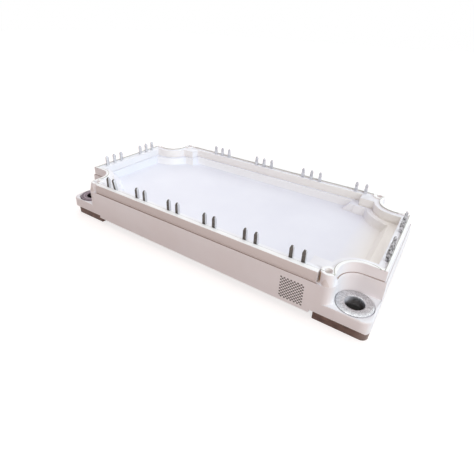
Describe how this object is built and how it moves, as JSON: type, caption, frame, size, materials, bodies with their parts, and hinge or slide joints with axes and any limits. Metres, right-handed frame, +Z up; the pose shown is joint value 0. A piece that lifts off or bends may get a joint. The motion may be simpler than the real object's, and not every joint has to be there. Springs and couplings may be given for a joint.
{
  "type": "igbt power module",
  "caption": "Power module: a moulded frame with stepped round corners, screw ears and rows of pins holds a sunken lid over switches on ceramic substrates and a copper base plate.",
  "frame": {"origin": "centre of the base plate's mounting face", "axes": "+X along the long side to the right, +Y to the back, away from the row of gate pins, +Z up along the pins"},
  "size_m": [0.122, 0.062, 0.0206],
  "materials": {
    "housing_plastic": "moulded, satin",
    "lid_plastic": "smooth, satin",
    "plate_copper": "oxidised dull copper",
    "bush_steel": "zinc-plated, turned",
    "pin_tin": "tin-plated, dull",
    "solder": "dull solder",
    "track_copper": "bare copper",
    "ceramic": "matt ceramic",
    "silicon": "polished die",
    "thermistor_body": "glazed ceramic",
    "wire_aluminium": "drawn wire",
    "gel": "clear soft gel",
    "sealant": "cured silicone"
  },
  "bodies": {
    "root": {"back_copper_left": "track_copper", "back_copper_middle": "track_copper", "back_copper_right": "track_copper", "base_plate": "plate_copper", "base_solder_left": "solder", "base_solder_middle": "solder", "base_solder_right": "solder", "bond_wires_left": "wire_aluminium", "bond_wires_middle": "wire_aluminium", "bond_wires_right": "wire_aluminium", "bushes": "bush_steel", "ceramic_left": "ceramic", "ceramic_middle": "ceramic", "ceramic_right": "ceramic", "dc_pins_left_back": "pin_tin", "dc_pins_left_front": "pin_tin", "dc_pins_right_back": "pin_tin", "dc_pins_right_front": "pin_tin", "diode_high_left": "silicon", "diode_high_middle": "silicon", "diode_high_right": "silicon", "diode_low_left": "silicon", "diode_low_middle": "silicon", "diode_low_right": "silicon", "gate_pins_1": "pin_tin", "gate_pins_2": "pin_tin", "gate_pins_3": "pin_tin", "gate_pins_4": "pin_tin", "gate_pins_5": "pin_tin", "gate_pins_6": "pin_tin", "housing_frame": "housing_plastic", "igbt_high_left": "silicon", "igbt_high_middle": "silicon", "igbt_high_right": "silicon", "igbt_low_left": "silicon", "igbt_low_middle": "silicon", "igbt_low_right": "silicon", "lid": "lid_plastic", "phase_pins_left": "pin_tin", "phase_pins_middle": "pin_tin", "phase_pins_right": "pin_tin", "seal_bead": "sealant", "silicone_gel": "gel", "thermistor": "thermistor_body", "thermistor_pins": "pin_tin", "top_copper_left": "track_copper", "top_copper_middle": "track_copper", "top_copper_right": "track_copper"}
  },
  "joints": []
}
